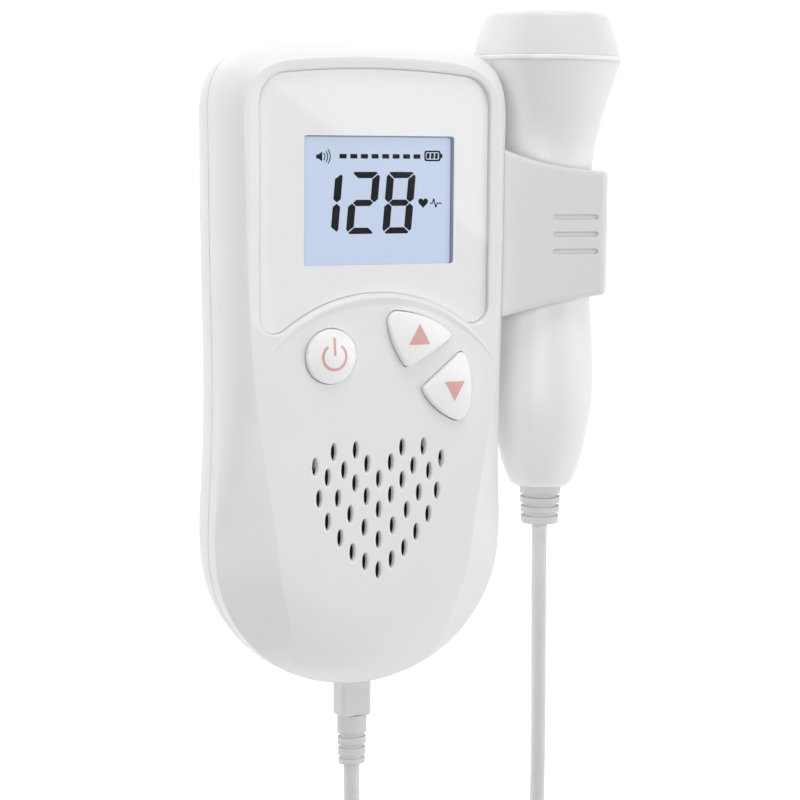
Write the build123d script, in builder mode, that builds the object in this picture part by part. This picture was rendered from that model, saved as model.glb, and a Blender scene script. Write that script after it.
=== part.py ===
"""Fetal doppler monitor: handset, probe holder, probe and lead.

Frame: the handset lies on its back.  +Z comes out of the display face, +Y points to the top of the
handset, +X to the probe.  The origin is the middle of the flat back, on the handset's own mid plane.
All sizes are in millimetres.
"""
from build123d import *
from math import cos, pi, radians, sin, sqrt, tan
import os

# ---------------------------------------------------------------- driving dimensions
thick = 33.0          # back face to the front face
z_seam = 20.8         # where the two covers meet
z_crease = 25.0       # top of the front cover's upright side
roof_z = 30.8         # inside of the front cover
wall = 2.0            # rear cover's wall
half_w = 36.5         # half of the handset's greatest width
half_l = 73.25        # half of its height
back_round = 18.0     # how far the back's rounding runs in from the side
seam_deep, seam_high = 0.3, 0.25   # the groove where the covers meet
gap = 0.3             # clearance between pieces that move past each other
seat = 0.05           # clearance of a piece that is only laid in place

# handset outline at the crease, right half, from the top to the bottom
side_pts = [
    (0, 73.2), (10, 73.1), (19, 72.7), (28.2, 71.0), (33.8, 67.4), (36.1, 61.9), (36.4, 54.0),
    (36.2, 40.0), (35.9, 22.0), (35.5, 4.0), (35.5, -12.0), (36.1, -27.0), (36.5, -38.0),
    (35.5, -48.0), (32.3, -56.0), (27.6, -62.2), (21.0, -67.6), (13.0, -71.2), (6.0, -72.8),
    (0, -73.3),
]
# outline of the front face, half a millimetre above it, point for point
face_pts = [
    (0, 69.1), (9.5, 68.9), (18, 68.3), (25.1, 66.8), (29.7, 63.0), (31.5, 57.3), (31.5, 51.3),
    (31.4, 39.0), (31.1, 21.5), (30.3, 4.0), (28.6, -11.5), (26.1, -26.0), (24.3, -37.0),
    (22.3, -47.0), (19.1, -53.0), (15.8, -58.5), (12.5, -63.0), (8.5, -66.2), (4.3, -68.0),
    (0, -68.6),
]
# how far the flank has come in from the side, halfway up: rounded above, straight at the foot
flank_in = [0.28] * 11 + [0.34, 0.44] + [0.48] * 7
face_lean = 0.0165    # the face leans to the left by this part of its height over face_lean_y
face_lean_y = -9.0

# display
lens_x, lens_w, lens_top, lens_thick = -0.4, 28.9, 66.9, 1.0
lens_z = thick - 0.5               # top of the lens, sunk in the face
lens_arc_r, arc_at = 38.3, (0.25, -20.8)   # the lens's arched foot
lens_wall, lens_band = 0.45, 3.2   # steep edge of the dish around the lens, and its gentle rim
print_thick = 0.15
print_z = lens_z - lens_thick - seat - print_thick
window_w, window_h, window_at = 37.7, 28.7, (0.85, 38.0)

# raised bead below the lens, highest at its middle and level with the face at its ends
bead_r, bead_rise, bead_end_y = 37.2, 0.4, -3.0

# buttons
button_top, button_gap = 35.1, 0.15
power_at, power_r, power_dome = (-12.15, 3.65), 6.15, 17.0     # the last is its top's radius
up_at, down_at, petal_dome = (9.2, 7.3), (18.0, -4.4), 32.0

# speaker
speaker_at, speaker_r = (0.3, -31.5), 18.0
speaker_top = roof_z - 0.6
grille_relief = 0.7   # how much thinner the roof is over the speaker

# probe
probe_x, probe_z = 51.94, 18.5
holder_bore, holder_out = 12.7, 15.1
holder_mouth = (-84, -30)          # degrees from +X towards -Z that the clip leaves open
cord_r = 1.8

# plug
plug_z = 20.5
plug_w, plug_t = 7.6, 5.4
plug_top, plug_foot, relief_foot = -72.2, -81.8, -93.3
socket_low = 16.9

# board and switches
board_z, board_thick = 26.0, 1.6
switch_top = 28.8

# battery bay, worked out from its two cells
cell_r, cell_len = 7.05, 49.9
cell_x, cell_z = cell_r + 0.45, wall + 0.65 + cell_r
bay_high = 4.0
bay_low = bay_high - cell_len - 6.1          # leaves room for a spring and two contacts
bay_w, bay_roof, bay_wall = cell_x + cell_r + 0.85, cell_z + cell_r + 0.85, 1.5
door_w, door_top, door_end_z = bay_w + 1.9, 7.0, 8.0
ledge_w = door_w + 3.2

case_screws_at = [(24, 60), (-24, 60), (22.5, -45.5), (-22.5, -45.5)]
board_screws_at = [(26.8, 52), (-26.8, 52), (27.2, -8.4), (-27.2, -8.4)]
holder_screws_at = [21.0, 39.0]    # along Y
holder_screw_z, holder_seat_x = 27.0, 30.8

os.makedirs("parts", exist_ok=True)


def loop(points):
    """Both halves of an outline given by its right half."""
    return list(points) + [(-x, y) for x, y in reversed(points[1:-1])]


def inset(points, d):
    """The outline moved in by d at its sides and ends."""
    return [(x * (1 - d / half_w), y * (1 - d / half_l)) for x, y in points]


def between(a, b, shares):
    """Points that lie a share of the way from outline a to outline b."""
    return [
        (p[0] + (q[0] - p[0]) * share, p[1] + (q[1] - p[1]) * share)
        for p, q, share in zip(a, b, shares)
    ]


def section(points, z, lean=0.0):
    """A closed smooth outline as a face at height z."""
    with BuildSketch(Plane.XY.offset(z)) as made:
        with BuildLine():
            Spline(*[(x - lean * max(y - face_lean_y, 0), y) for x, y in loop(points)], periodic=True)
        make_face()
    return made.sketch


def back_sections(d, z_low, run):
    """Outlines up a rounded back: d in from the side, flat at z_low, run deep."""
    made = []
    for degrees in (82, 74, 64, 52, 40, 27, 14, 0):
        rise = sin(radians(degrees)) / sin(radians(82))
        z = z_seam - (z_seam - z_low) * rise
        made.append(section(inset(side_pts, d + run * (1 - cos(radians(degrees)))), z))
    return made


def dome_cut():
    """The ring of space over the handset's bottom end, where its face curves down."""
    r_flat, r_far, drop, r_end = 27.6, 60.0, 8.0, 48.3
    radius = ((r_end - r_flat) ** 2 + drop ** 2) / (2 * drop)
    z0 = thick
    with BuildPart() as made:
        with BuildSketch(Plane.YZ):
            with BuildLine():
                a = (-25 - r_flat, z0)
                b = (-25 - r_end - 3, z0 - radius + sqrt(radius ** 2 - (r_end + 3 - r_flat) ** 2))
                RadiusArc(a, b, -radius)
                Polyline(b, (-25 - r_far, b[1]), (-25 - r_far, 45), (-25 - r_flat, 45), a)
            make_face()
        revolve(axis=Axis((0, -25, 0), (0, 0, 1)))
        with BuildSketch(Plane.XY):
            with Locations((0, -55)):
                Rectangle(140, 60)
        extrude(amount=60, mode=Mode.INTERSECT)
    return made.part


def lens_face(grow, z, foot=None):
    """The lens outline moved out by grow, and its arched foot by an amount of its own."""
    radius = lens_arc_r - (grow if foot is None else foot)
    left, right, top = lens_x - lens_w - grow, lens_x + lens_w + grow, lens_top + 0.8 * grow
    foot_left = arc_at[1] + sqrt(radius ** 2 - (left - arc_at[0]) ** 2)
    foot_right = arc_at[1] + sqrt(radius ** 2 - (right - arc_at[0]) ** 2)
    with BuildSketch(Plane.XY.offset(z)) as made:
        with BuildLine():
            ThreePointArc((left, top - 1.7), (lens_x, top + 0.2), (right, top - 1.7))
            Line((right, top - 1.7), (right, foot_right))
            ThreePointArc((right, foot_right), (arc_at[0], arc_at[1] + radius), (left, foot_left))
            Line((left, foot_left), (left, top - 1.7))
        make_face()
        fillet(made.vertices().sort_by(Axis.Y)[-2:], radius=7 + grow)
        fillet(made.vertices().sort_by(Axis.Y)[:2], radius=4 + grow)
    return made.sketch


def petal_up(grow, z):
    """The upper volume button's outline."""
    with BuildSketch(Plane.XY.offset(z)) as made:
        with BuildLine():
            Line((19.4, 7.25), (6.85, 0.35))
            ThreePointArc((6.85, 0.35), (3.2, 6.3), (1.7, 13.4))
            ThreePointArc((1.7, 13.4), (10.7, 12.05), (19.4, 7.25))
        make_face()
        fillet(made.vertices().sort_by(Axis.X)[-1], radius=1.2)
        fillet(made.vertices().sort_by(Axis.Y)[0], radius=1.1)
        fillet(made.vertices().sort_by(Axis.Y)[-1], radius=2.4)
        if grow:
            offset(amount=grow)
    return made.sketch


def petal_down(grow, z):
    """The lower volume button's outline."""
    with BuildSketch(Plane.XY.offset(z)) as made:
        with BuildLine():
            Line((21.6, 4.3), (10.7, -4.45))
            ThreePointArc((10.7, -4.45), (15.1, -9.6), (22.1, -12.9))
            ThreePointArc((22.1, -12.9), (23.3, -4.9), (21.6, 4.3))
        make_face()
        fillet(made.vertices().sort_by(Axis.Y)[-1], radius=1.3)
        fillet(made.vertices().sort_by(Axis.X)[0], radius=1.2)
        fillet(made.vertices().sort_by(Axis.Y)[0], radius=2.6)
        if grow:
            offset(amount=grow)
    return made.sketch


def rounds(points, r, z):
    """Circles at the points, on one plane."""
    with BuildSketch(Plane.XY.offset(z)) as made:
        with Locations(*points):
            Circle(r)
    return made.sketch


def block(x0, x1, y0, y1, z):
    """A rectangle from corner to corner at height z."""
    with BuildSketch(Plane.XY.offset(z)) as made:
        with Locations(((x0 + x1) / 2, (y0 + y1) / 2)):
            Rectangle(x1 - x0, y1 - y0)
    return made.sketch


def door_prism(clear):
    """The door's opening: dovetailed sides, open at the bottom end of the handset."""
    with BuildPart() as made:
        with BuildSketch(Plane.XZ.offset(-door_top - clear)):
            w = door_w + clear
            Polygon(
                (-w + 0.7, -1), (w - 0.7, -1), (w + 0.3, 2.0), (w + 0.3, door_end_z + clear),
                (-w - 0.3, door_end_z + clear), (-w - 0.3, 2.0), align=None,
            )
        extrude(amount=90)
    return made.part


# ---------------------------------------------------------------- outer and inner forms of the handset
middle = between(side_pts, face_pts, flank_in)
with BuildPart() as front_form:
    extrude(section(inset(side_pts, seam_deep), z_seam), amount=seam_high)
    extrude(section(side_pts, z_seam + seam_high), amount=z_crease - z_seam - seam_high)
    loft([
        section(side_pts, z_crease), section(middle, 29.1, face_lean / 2),
        section(face_pts, thick + 0.5, face_lean),
    ])
    extrude(block(-50, 50, -90, 90, thick), amount=5, mode=Mode.SUBTRACT)

# inside, the roof stops short of the bottom end and slopes down to it, under the curved face
inner_side = inset(side_pts, wall)
inner_face = [(x, max(y, -56 + 0.03 * x * x)) for x, y in inset(face_pts, 1.6)]
with BuildPart() as front_space:
    extrude(section(inner_side, z_seam - 3), amount=z_crease - z_seam + 2)
    loft([section(inner_side, z_crease - 1), section(inner_face, roof_z)])
    # the roof is thinner over the speaker
    extrude(rounds([speaker_at], speaker_r + 2.5, roof_z - 0.5), amount=0.5 + grille_relief)

with BuildPart() as rear_form:
    loft(back_sections(0, 0, back_round))

with BuildPart() as rear_space:
    loft(back_sections(wall, wall, back_round - 1))
    extrude(section(inner_side, z_seam), amount=1)

# the grille's slots, right half of the ring and the middle column, from the speaker's centre
slot_ring = [
    (3.4, -11.9), (6.6, -9.5), (9.7, -6.0), (12.8, -2.1), (15.0, 3.2), (16.05, 10.5), (11.4, 13.6),
    (5.9, 13.7), (3.0, 10.4), (3.6, -4.1), (7.2, -0.8), (10.3, 3.0), (12.9, 7.9), (8.8, 9.3),
    (6.0, 6.2), (3.1, 3.0),
]
slot_spread = speaker_r / 18
slot_w, slot_h = 1.4, 4.0
slot_rim = 0.4
slots = [(side * x, y) for x, y in slot_ring for side in (1, -1)]
slots += [(0, 6.8), (0, -0.2), (0, -7.1), (0, -14.1)]
slots = [(speaker_at[0] + x * slot_spread, speaker_at[1] + y * slot_spread) for x, y in slots]

# ---------------------------------------------------------------- front cover
with BuildPart() as front_fixings:
    # posts for the case screws and the board, and the speaker's locating rim
    extrude(rounds(case_screws_at, 3.4, z_seam), amount=roof_z - z_seam + 0.2)
    extrude(rounds(board_screws_at, 2.6, 26.0), amount=roof_z - 26.0 + 0.2)
    with BuildSketch(Plane.XY.offset(27.6)):
        with Locations(speaker_at):
            Circle(speaker_r + 1.6)
            Circle(speaker_r + 0.3, mode=Mode.SUBTRACT)
    extrude(amount=roof_z + grille_relief - 27.6 + 0.2)
    # seats for the heads of the holder's screws
    with BuildSketch(Plane.YZ.offset(holder_seat_x)):
        with Locations(*[(y, holder_screw_z) for y in holder_screws_at]):
            Circle(2.3)
    extrude(amount=2.9)

with BuildPart() as front_openings:
    extrude(rounds(case_screws_at, 1.35, z_seam - 1), amount=8)
    extrude(rounds(board_screws_at, 1.05, 25.0), amount=5)
    # lens seat and the display opening
    extrude(lens_face(seat, print_z), amount=5)
    extrude(
        block(
            window_at[0] - window_w / 2 - 2, window_at[0] + window_w / 2 + 2,
            window_at[1] - window_h / 2 - 2, window_at[1] + window_h / 2 + 2, 29,
        ),
        amount=3,
    )
    # buttons
    extrude(rounds([power_at], power_r + button_gap, 29), amount=6)
    extrude(petal_up(button_gap, 29), amount=6)
    extrude(petal_down(button_gap, 29), amount=6)
    # grille
    with BuildSketch(Plane.XY.offset(27.2)):
        with Locations(*slots):
            Ellipse(slot_w / 2, slot_h / 2)
    extrude(amount=8)
    # half of the plug's opening
    extrude(block(-4.1, 4.1, -76, -66, 18), amount=plug_z + 3.0 - 18)
    # screw holes for the holder
    with BuildSketch(Plane.YZ.offset(30)):
        with Locations(*[(y, holder_screw_z) for y in holder_screws_at]):
            Circle(1.45)
    extrude(amount=10)
    # the dish around the lens: a steep edge, then a rim that falls gently inwards
    wall_top = lens_face(lens_wall, thick - 0.2)
    loft([lens_face(seat, lens_z), wall_top], ruled=True)
    loft([wall_top, lens_face(lens_band, thick + 0.1, foot=lens_wall + 0.5)], ruled=True)

# the bead is a ring leaning back a little, cut off at the edge of the face
lean = bead_rise / (arc_at[1] + bead_r - bead_end_y)
bead_foot = (arc_at[0], arc_at[1], thick + lean * (arc_at[1] - bead_end_y))
with BuildPart() as arc_bead:
    with BuildSketch(Plane(origin=bead_foot, x_dir=(1, 0, 0), z_dir=(0, -1, -lean))):
        Polygon(
            (bead_r - 2.4, -0.6), (bead_r, 0), (bead_r + 0.45, -0.18), (bead_r + 0.8, -0.5),
            (bead_r + 0.8, -1.4), (bead_r - 2.4, -1.4), align=None,
        )
    revolve(axis=Axis(bead_foot, (0, -lean, 1)))
    extrude(section(face_pts, thick - 2, face_lean), amount=4, mode=Mode.INTERSECT)
    extrude(block(-50, 50, -2, 50, thick - 1), amount=3, mode=Mode.INTERSECT)

with BuildPart() as front_cover:
    add(front_form.part)
    add(front_space.part, mode=Mode.SUBTRACT)
    add(front_fixings.part)
    add(front_openings.part, mode=Mode.SUBTRACT)
    add(arc_bead.part)
    add(dome_cut(), mode=Mode.SUBTRACT)
    # the slots' rims are rounded
    grille = front_cover.faces().filter_by(lambda f: len(f.inner_wires()) >= len(slots)).sort_by(Axis.Z)[-1]
    rims = [w.edges() for w in grille.inner_wires() if w.length < slot_w * 2 + slot_h * 2]
    fillet([edge for rim in rims for edge in rim], radius=slot_rim)
front_cover.part.label = "front_cover"

# ---------------------------------------------------------------- rear cover
with BuildPart() as rear_fixings:
    # screw posts
    extrude(rounds(case_screws_at, 4.4, 0.8), amount=z_seam - 0.8 - 0.1)
    # battery bay: sides and roof, ledges over the door, a floor behind its bottom end
    bay_outside = bay_w + bay_wall
    extrude(
        block(-bay_outside, bay_outside, bay_low - bay_wall, bay_high + bay_wall, wall + 0.2),
        amount=bay_roof + bay_wall - wall - 0.2,
    )
    extrude(block(-ledge_w, ledge_w, bay_low - bay_wall, door_top + 2.0, wall + 0.2), amount=1.6)
    extrude(block(-door_w - 1.9, door_w + 1.9, -72, bay_low, door_end_z + gap), amount=bay_wall)
    # pedestal under the plug's socket
    extrude(block(-5.6, 5.6, -71.5, -61.5, door_end_z + 1), amount=socket_low - door_end_z - 1)
    extrude(block(-door_w - 1.9, door_w + 1.9, door_top + gap, door_top + 2.0, 1.0), amount=4)
    extrude(block(-bay_w, bay_w, bay_low, bay_high, 0), amount=bay_roof, mode=Mode.SUBTRACT)

with BuildPart() as door_opening:
    add(door_prism(gap))
    # the ledges and the bay's walls stay
    extrude(
        block(-ledge_w, ledge_w, bay_low - bay_wall, door_top + 2.0, wall + 0.2),
        amount=30, mode=Mode.SUBTRACT,
    )

with BuildPart() as rear_cover:
    add(rear_form.part)
    add(rear_space.part, mode=Mode.SUBTRACT)
    add(rear_fixings.part)
    add(rear_form.part, mode=Mode.INTERSECT)
    add(door_opening.part, mode=Mode.SUBTRACT)
    # counterbores, screw holes, and half of the plug's opening
    extrude(
        rounds(case_screws_at, 3.0, -1).faces() + block(-4.1, 4.1, -76, -70, plug_z - 3.0).faces(),
        amount=13, mode=Mode.SUBTRACT,
    )
    extrude(rounds(case_screws_at, 1.5, 0), amount=25, mode=Mode.SUBTRACT)
rear_cover.part.label = "rear_cover"

# ---------------------------------------------------------------- battery door
with BuildPart() as battery_door:
    add(rear_form.part)
    add(rear_space.part, mode=Mode.SUBTRACT)
    add(door_prism(0), mode=Mode.INTERSECT)
    # flat inside where it lies under the ledges
    extrude(block(-ledge_w, ledge_w, bay_low - bay_wall - 0.4, 8, wall), amount=10, mode=Mode.SUBTRACT)
    # finger grooves
    with BuildSketch(Plane.XY):
        with Locations(*[(0, -26 + 2.6 * i) for i in range(5)]):
            SlotOverall(16, 1.3)
    extrude(amount=0.6, mode=Mode.SUBTRACT)
battery_door.part.label = "battery_door"

# ---------------------------------------------------------------- display
with BuildPart() as display_lens:
    extrude(lens_face(0, lens_z - lens_thick), amount=lens_thick)
    chamfer(display_lens.faces().sort_by(Axis.Z)[-1].edges(), length=0.08)
display_lens.part.label = "display_lens"

with BuildPart() as lens_print:
    extrude(lens_face(-0.1, print_z), amount=print_thick)
    with BuildSketch(Plane.XY.offset(print_z)):
        with Locations(window_at):
            RectangleRounded(window_w, window_h, 0.7)
    extrude(amount=print_thick, mode=Mode.SUBTRACT)
lens_print.part.label = "lens_print"

with BuildPart() as lcd_glass:
    extrude(block(-22.5, 22.5, window_at[1] - 18, window_at[1] + 18, 28.6), amount=1.8)
lcd_glass.part.label = "lcd_glass"

with BuildPart() as lcd_backlight:
    extrude(block(-22.0, 22.0, window_at[1] - 17.5, window_at[1] + 17.5, board_z), amount=2.5)
lcd_backlight.part.label = "lcd_backlight"

with BuildPart() as lcd_frame:
    with BuildSketch(Plane.XY.offset(board_z)):
        with Locations((0, window_at[1])):
            RectangleRounded(47.2, 37.0, 0.4)
            Rectangle(45.2, 36.2, mode=Mode.SUBTRACT)
    extrude(amount=4.3)
lcd_frame.part.label = "lcd_frame"

# ---------------------------------------------------------------- board and what is on it
with BuildPart() as main_board:
    with BuildSketch(Plane.XY.offset(board_z - board_thick)):
        with Locations((0, 22.4)):
            RectangleRounded(59.2, 67.2, 2.0)
    extrude(amount=board_thick)
    extrude(rounds(board_screws_at, 1.2, board_z - 5), amount=10, mode=Mode.SUBTRACT)
main_board.part.label = "main_board"

with BuildPart() as board_parts:
    under = board_z - board_thick
    extrude(block(0, 10, 22, 32, under - 1.4), amount=1.4)
    extrude(block(-14, -8, 36, 41, under - 1.2), amount=1.2)
    extrude(block(14, 25, 12, 16.5, under - 3.2), amount=3.2)
    extrude(rounds([(-18, 26), (-18, 16)], 3.1, under - 4.6), amount=4.6)
    extrude(rounds([(16, 42)], 3.6, under - 3.2), amount=3.2)
board_parts.part.label = "board_parts"

switches_at = [power_at, up_at, down_at]
with BuildPart() as tact_switches:
    with BuildSketch(Plane.XY.offset(board_z)):
        with Locations(*switches_at):
            Rectangle(6.0, 6.0)
    extrude(amount=switch_top - board_z)
    extrude(rounds(switches_at, 1.8, 27.3), amount=3, mode=Mode.SUBTRACT)
tact_switches.part.label = "tact_switches"

stems = []
for name, at in (("power", power_at), ("volume_up", up_at), ("volume_down", down_at)):
    with BuildPart() as stem:
        extrude(rounds([at], 1.65, 28.1), amount=1.5)
    stem.part.label = name + "_stem"
    stems.append(stem.part)

# ---------------------------------------------------------------- buttons
cap_low, flange_top = 29.6, roof_z - gap
with BuildPart() as power_button:
    extrude(rounds([power_at], power_r, cap_low), amount=button_top - cap_low)
    with Locations((*power_at, button_top - power_dome)):
        Sphere(power_dome, rotation=(90, 0, 0), mode=Mode.INTERSECT)
    fillet(power_button.faces().sort_by(Axis.Z)[-1].edges(), radius=0.7)
    extrude(rounds([power_at], power_r + 1.1, cap_low), amount=flange_top - cap_low)
power_button.part.label = "power_button"

with BuildPart() as volume_up_button:
    extrude(petal_up(0, cap_low), amount=button_top - cap_low)
    with Locations((*up_at, button_top - petal_dome)):
        Sphere(petal_dome, rotation=(90, 0, 0), mode=Mode.INTERSECT)
    fillet(volume_up_button.faces().sort_by(Axis.Z)[-1].edges(), radius=0.7)
    extrude(petal_up(0.9, cap_low), amount=flange_top - cap_low)
volume_up_button.part.label = "volume_up_button"

with BuildPart() as volume_down_button:
    extrude(petal_down(0, cap_low), amount=button_top - cap_low)
    with Locations((*down_at, button_top - petal_dome)):
        Sphere(petal_dome, rotation=(90, 0, 0), mode=Mode.INTERSECT)
    fillet(volume_down_button.faces().sort_by(Axis.Z)[-1].edges(), radius=0.7)
    extrude(petal_down(0.9, cap_low), amount=flange_top - cap_low)
volume_down_button.part.label = "volume_down_button"

# ---------------------------------------------------------------- speaker
# heights from the basket's top
speaker_plane = Plane(origin=(*speaker_at, speaker_top), x_dir=(1, 0, 0), z_dir=(0, -1, 0))
speaker_axis = Axis((*speaker_at, 0), (0, 0, 1))
with BuildPart() as speaker_frame:
    with BuildSketch(speaker_plane):
        Polygon(
            (speaker_r - 2.2, 0), (speaker_r, 0), (speaker_r, -1.1), (speaker_r - 1.6, -1.1), (10, -4.9),
            (10, -5.8), (4.2, -5.8), (4.2, -5.0), (9.4, -5.0), (speaker_r - 2.2, -1.2), align=None,
        )
    revolve(axis=speaker_axis)
speaker_frame.part.label = "speaker_frame"

with BuildPart() as speaker_cone:
    with BuildSketch(speaker_plane):
        Polygon(
            (0, -2.5), (2.2, -2.7), (3.8, -3.3), (speaker_r - 4.4, -0.9), (speaker_r - 3.4, -0.3),
            (speaker_r - 2.4, -0.6), (speaker_r - 2.4, -0.9), (speaker_r - 3.4, -0.6),
            (speaker_r - 4.3, -1.2), (3.8, -3.7), (2.2, -3.0), (0, -2.8), align=None,
        )
    revolve(axis=speaker_axis)
speaker_cone.part.label = "speaker_cone"

magnet_low = bay_roof + bay_wall + 1.3
with BuildPart() as speaker_magnet:
    extrude(rounds([speaker_at], 9.5, magnet_low), amount=speaker_top - 5.8 - magnet_low)
    chamfer(speaker_magnet.faces().sort_by(Axis.Z)[0].edges(), length=0.4)
speaker_magnet.part.label = "speaker_magnet"

with BuildPart() as speaker_cloth:
    extrude(rounds([speaker_at], speaker_r - 0.1, speaker_top + 0.1), amount=0.35)
speaker_cloth.part.label = "speaker_cloth"

# ---------------------------------------------------------------- cells, springs, contacts
cell_plane = Plane(origin=(0, 0, cell_z), x_dir=(1, 0, 0), z_dir=(0, 0, 1))
bay_mid, bay_half = (bay_low + bay_high) / 2, (bay_high - bay_low) / 2
with BuildPart() as cells:
    for side in (1, -1):
        # one nub up, the other down; the bay's middle is the mirror line
        nub = bay_mid + side * (bay_half - 0.5)
        head, foot = nub - side, nub - side * cell_len
        with BuildSketch(cell_plane):
            with BuildLine():
                Polyline(
                    (side * cell_x, foot), (side * cell_x + cell_r, foot), (side * cell_x + cell_r, head),
                    (side * cell_x + 2.7, head), (side * cell_x + 2.7, nub), (side * cell_x, nub),
                    close=True,
                )
            make_face()
        revolve(axis=Axis((side * cell_x, 0, cell_z), (0, 1, 0)))
cells.part.label = "cells"

with BuildPart() as cell_springs:
    for side in (1, -1):
        foot = bay_mid - side * (bay_half - 1.0)
        with BuildLine() as coil_line:
            Helix(
                pitch=1.2, height=4.0, radius=3.2, center=(side * cell_x, foot, cell_z),
                direction=(0, side, 0),
            )
        with BuildSketch(Plane(coil_line.line @ 0, z_dir=coil_line.line % 0)):
            Circle(0.35)
        sweep(path=coil_line.line, is_frenet=True)
cell_springs.part.label = "cell_springs"

with BuildPart() as cell_contacts:
    with BuildSketch(Plane.XZ.offset(-bay_low - 0.5)):
        with Locations((0, cell_z)):
            RectangleRounded(24, 9, 1)
    extrude(amount=0.5)
    with BuildSketch(Plane.XZ.offset(-bay_high)):
        with Locations((cell_x, cell_z), (-cell_x, cell_z)):
            RectangleRounded(9, 9, 1)
    extrude(amount=0.5)
cell_contacts.part.label = "cell_contacts"


def screws(points, plane_z, head_r, head_h, shank_r, shank_l):
    """Screws from below: head under plane_z, shank above it, a cross in each head."""
    with BuildPart() as made:
        extrude(rounds(points, head_r, plane_z - head_h), amount=head_h)
        extrude(rounds(points, shank_r, plane_z), amount=shank_l)
        with BuildSketch(Plane.XY.offset(plane_z - head_h)):
            with Locations(*points):
                Rectangle(1.3 * head_r, 0.5)
                Rectangle(0.5, 1.3 * head_r)
        extrude(amount=0.7, mode=Mode.SUBTRACT)
    return made.part


case_screws = screws(case_screws_at, 12.0, 2.4, 1.8, 1.3, 15.0)
case_screws.label = "case_screws"
board_screws = screws(board_screws_at, board_z - board_thick, 1.9, 1.2, 1.0, 5.0)
board_screws.label = "board_screws"

# ---------------------------------------------------------------- probe holder
def at_bore(degrees):
    """A point of the clip's outside, the angle from +X towards +Z."""
    turn = radians(degrees)
    return probe_x + holder_out * cos(turn), probe_z + holder_out * sin(turn)


with BuildPart() as probe_holder:
    foot, flat_end = at_bore(-135), at_bore(35)
    # the front face slopes up to a corner from which a flat runs down, tangent to the outside
    corner = (flat_end[0] - 8.4 * sin(radians(35)), flat_end[1] + 8.4 * cos(radians(35)))
    with BuildSketch(Plane.XZ.offset(-53)) as clip_side:
        with BuildLine():
            Polyline((33.0, 30.4), corner, flat_end)
            ThreePointArc(flat_end, at_bore(-30), foot)
            Polyline(foot, (34.6, foot[1] + foot[0] - 34.6), (30, 20), (30, 28), (33.0, 30.4))
        make_face()
        fillet(clip_side.vertices().sort_by(Axis.Y)[-1], radius=2.2)
    extrude(amount=46)
    # seen from the front its top edge falls and its lower edge rises away from the handset
    with BuildSketch(Plane.XY):
        with BuildLine():
            Spline((29, 51.6), (33.3, 49.9), (37.6, 48.3), (45.8, 46.2), (56.9, 44.8), (72, 44.5))
            Line((72, 44.5), (72, 16.2))
            Spline((72, 16.2), (60.3, 15.6), (51.9, 14.6), (40.9, 12.5), (33.2, 10.6), (29, 9.5))
            Line((29, 9.5), (29, 51.6))
        make_face()
    extrude(amount=45, mode=Mode.INTERSECT)
    ends = [e for e in probe_holder.edges() if abs(e.center().Y - 31) > 10 and e.length > 0.5]
    fillet([e for e in ends if e.center().X > 60 or (e.center().Z > 26 and e.center().X > 34)], radius=1.1)
    # the bore, and the mouth that lets the clip spring
    with BuildSketch(Plane.XZ.offset(-60)):
        with Locations((probe_x, probe_z)):
            Circle(holder_bore)
        mouth = [radians(a) for a in (holder_mouth[0], sum(holder_mouth) / 2, holder_mouth[1])]
        Polygon(
            (probe_x, probe_z),
            *[(probe_x + r * cos(a), probe_z + r * sin(a)) for r, a in zip((30, 40, 30), mouth)],
            align=None,
        )
    extrude(amount=60, mode=Mode.SUBTRACT)
    add(front_form.part, mode=Mode.SUBTRACT)
    add(rear_form.part, mode=Mode.SUBTRACT)
    # grip grooves, cut square to the sloping face
    run = Vector(corner[0] - 33.0, 0, corner[1] - 30.4)
    face_plane = Plane(origin=(33.0, 0, 30.4), x_dir=run, z_dir=(-run.Z, 0, run.X))
    with BuildSketch(face_plane.offset(-0.6)):
        with Locations(*[(18.9, y) for y in (33.9, 29.9, 25.9)]):
            SlotOverall(11.6, 1.1)
    extrude(amount=3, mode=Mode.SUBTRACT)
    # screw holes
    with BuildSketch(Plane.YZ.offset(33)):
        with Locations(*[(y, holder_screw_z) for y in holder_screws_at]):
            Circle(1.35)
    extrude(amount=8.4, mode=Mode.SUBTRACT)
probe_holder.part.label = "probe_holder"

with BuildPart() as holder_screws:
    with BuildSketch(Plane.YZ.offset(holder_seat_x)):
        with Locations(*[(y, holder_screw_z) for y in holder_screws_at]):
            Circle(2.1)
    extrude(amount=-1.1)
    with BuildSketch(Plane.YZ.offset(holder_seat_x)):
        with Locations(*[(y, holder_screw_z) for y in holder_screws_at]):
            Circle(1.3)
    extrude(amount=10.2)
holder_screws.part.label = "holder_screws"

# ---------------------------------------------------------------- probe
probe_plane = Plane(origin=(probe_x, 0, probe_z), x_dir=(1, 0, 0), z_dir=(0, 0, 1))
probe_axis = Axis((probe_x, 0, probe_z), (0, 1, 0))
shell_pts = [
    (7.4, -30.3), (9.35, -25.5), (11.0, -18.0), (11.95, -11.5), (12.25, -4.0), (11.95, 3.5),
    (11.3, 12.0), (10.9, 25.0), (10.9, 37.0), (11.4, 47.0), (12.7, 54.3), (14.5, 60.6), (16.6, 67.1),
    (17.6, 70.2),
]
shell_wall = 1.8
with BuildPart() as probe_shell:
    with BuildSketch(probe_plane):
        inner = [(r - shell_wall, y) for r, y in shell_pts[1:]]
        with BuildLine():
            Polyline((3.3, -28.6), (3.3, -31.0), (6.7, -31.0), shell_pts[0])
            Spline(*shell_pts)
            Line(shell_pts[-1], inner[-1])
            Spline(*reversed(inner))
            Polyline(inner[0], (6.2, -28.6), (3.3, -28.6))
        make_face()
    revolve(axis=probe_axis)
probe_shell.part.label = "probe_shell"

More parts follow.
